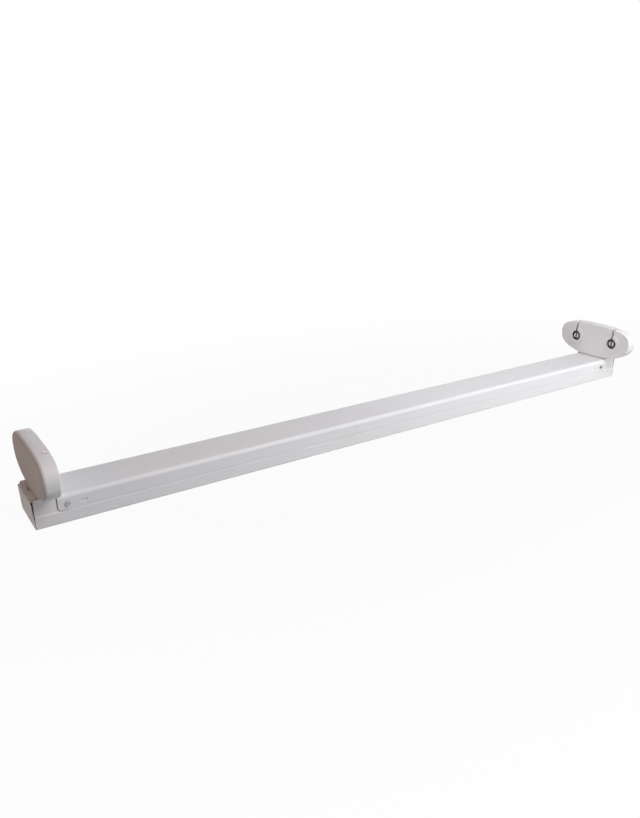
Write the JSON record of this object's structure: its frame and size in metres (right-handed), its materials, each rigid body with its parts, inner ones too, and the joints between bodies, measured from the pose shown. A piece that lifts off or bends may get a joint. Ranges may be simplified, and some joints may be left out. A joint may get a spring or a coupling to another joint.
{
  "type": "twin tube light fixture",
  "caption": "Slim twin batten with a folded sheet channel and cover and an oval lampholder at each end with rotary sockets for straight bi-pin tubes.",
  "frame": {"origin": "centre of the mounting face, on the face", "axes": "+X along the fixture, +Z from the mounting face towards the lamps, +Y across"},
  "size_m": [0.9484, 0.1334, 0.0864],
  "materials": {
    "white_sheet": "satin white powder coat",
    "white_plastic": "satin moulded",
    "rotor_plastic": "moulded",
    "black_plastic": "moulded",
    "clear_plastic": "natural nylon",
    "steel": "zinc plated",
    "brass": "plain",
    "bronze": "rolled strip",
    "tinned_copper": "tinned",
    "brown_insulation": "insulated wire",
    "blue_insulation": "insulated wire",
    "green_insulation": "insulated wire"
  },
  "bodies": {
    "fixture": {"base_channel": "white_sheet", "cable_bushing": "black_plastic", "cover": "white_sheet", "cover_screws": "steel", "earth_nut": "brass", "earth_ring": "tinned_copper", "earth_screw": "brass", "earth_washer": "steel", "earth_wire": "green_insulation", "holder_screws": "steel", "left_back_contact": "bronze", "left_front_contact": "bronze", "left_holder_back": "white_plastic", "left_holder_shell": "white_plastic", "live_wire_back": "brown_insulation", "live_wire_front": "brown_insulation", "neutral_wire_back": "blue_insulation", "neutral_wire_front": "blue_insulation", "right_back_contact": "bronze", "right_front_contact": "bronze", "right_holder_back": "white_plastic", "right_holder_shell": "white_plastic", "terminal_block": "clear_plastic", "terminal_inserts": "brass", "terminal_screws": "steel"},
    "left_front_rotor": {"left_front_rotor": "rotor_plastic"},
    "left_back_rotor": {"left_back_rotor": "rotor_plastic"},
    "right_front_rotor": {"right_front_rotor": "rotor_plastic"},
    "right_back_rotor": {"right_back_rotor": "rotor_plastic"}
  },
  "joints": [
    {"name": "left_front_socket_turn", "type": "hinge", "parent": "fixture", "child": "left_front_rotor", "pos_m": [-0.4485, -0.035, 0.061], "axis": [1, 0, 0], "range_deg": [-90, 90]},
    {"name": "left_back_socket_turn", "type": "hinge", "parent": "fixture", "child": "left_back_rotor", "pos_m": [-0.4485, 0.035, 0.061], "axis": [1, 0, 0], "range_deg": [-90, 90]},
    {"name": "right_front_socket_turn", "type": "hinge", "parent": "fixture", "child": "right_front_rotor", "pos_m": [0.4485, -0.035, 0.061], "axis": [1, 0, 0], "range_deg": [-90, 90]},
    {"name": "right_back_socket_turn", "type": "hinge", "parent": "fixture", "child": "right_back_rotor", "pos_m": [0.4485, 0.035, 0.061], "axis": [1, 0, 0], "range_deg": [-90, 90]}
  ]
}
